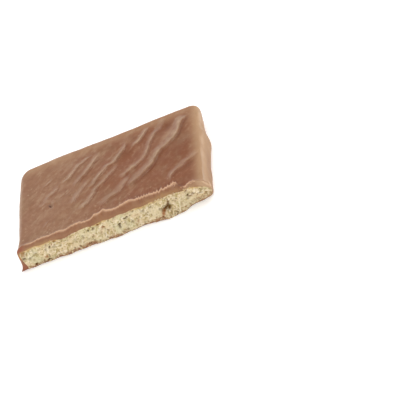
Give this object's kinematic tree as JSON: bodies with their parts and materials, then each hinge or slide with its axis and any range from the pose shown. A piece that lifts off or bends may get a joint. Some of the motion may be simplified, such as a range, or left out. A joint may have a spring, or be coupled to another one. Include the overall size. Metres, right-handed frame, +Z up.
{
  "type": "chocolate-coated graham cracker, snapped half",
  "caption": "Snapped half of a square graham cracker enrobed in rippled milk chocolate, with its baked crumb showing along the break.",
  "frame": {"origin": "centre of the bounding box's underside, on the flat base", "axes": "+X along the snapped edge, +Y from the snapped face to the unbroken back wall, +Z up through the coated top"},
  "size_m": [0.057, 0.0338, 0.0081],
  "materials": {
    "milk_chocolate": "satin",
    "baked_crumb": "porous matte"
  },
  "bodies": {
    "root": {"chocolate_coating": "milk_chocolate", "graham_biscuit": "baked_crumb"}
  },
  "joints": []
}
